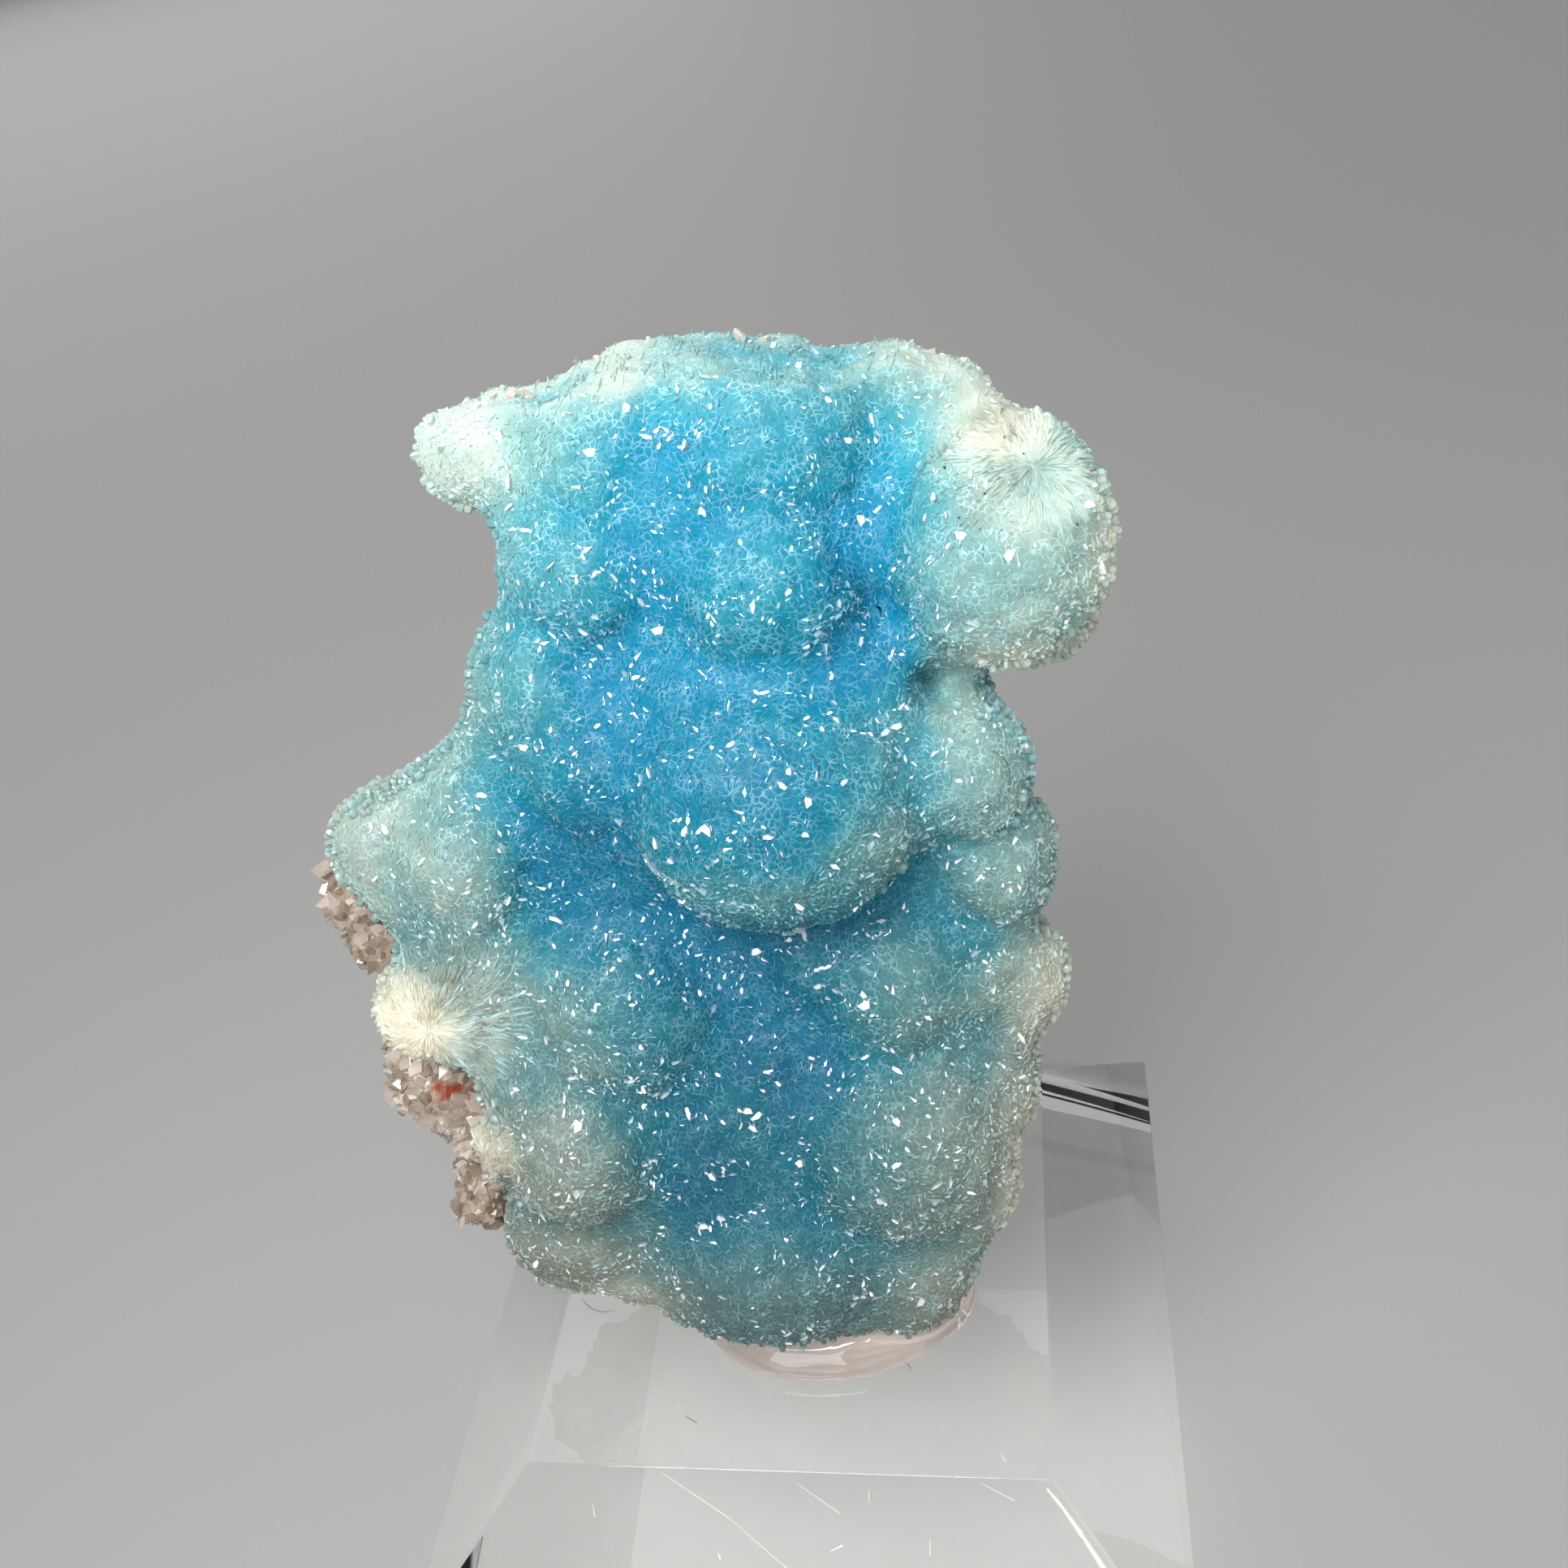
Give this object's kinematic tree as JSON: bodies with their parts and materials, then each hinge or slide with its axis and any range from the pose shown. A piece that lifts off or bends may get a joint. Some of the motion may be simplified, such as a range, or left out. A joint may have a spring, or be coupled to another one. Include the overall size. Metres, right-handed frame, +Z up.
{
  "type": "hemimorphite mineral specimen on a bevelled display base",
  "caption": "Lumpy sky-blue hemimorphite crust with sparkling crystal faces on brown host rock, set with clear gel on a square bevelled acrylic base",
  "frame": {"origin": "centre of the base's underside", "axes": "+Z up, the specimen's face looks toward -Y and a little toward +X, +X to the viewer's right"},
  "size_m": [0.0394, 0.0382, 0.0665],
  "materials": {
    "hemimorphite": "translucent sky-blue crystal crust, glassy crystal faces, paler at its rims",
    "matrix": "rough pinkish-brown rock with glassy grains and rusty stains",
    "gel": "clear soft gel, glossy",
    "acrylic": "clear polished acrylic"
  },
  "bodies": {
    "root": {"hemimorphite_crust": "hemimorphite", "matrix_rock": "matrix", "mounting_gel": "gel", "acrylic_base": "acrylic"}
  },
  "joints": []
}
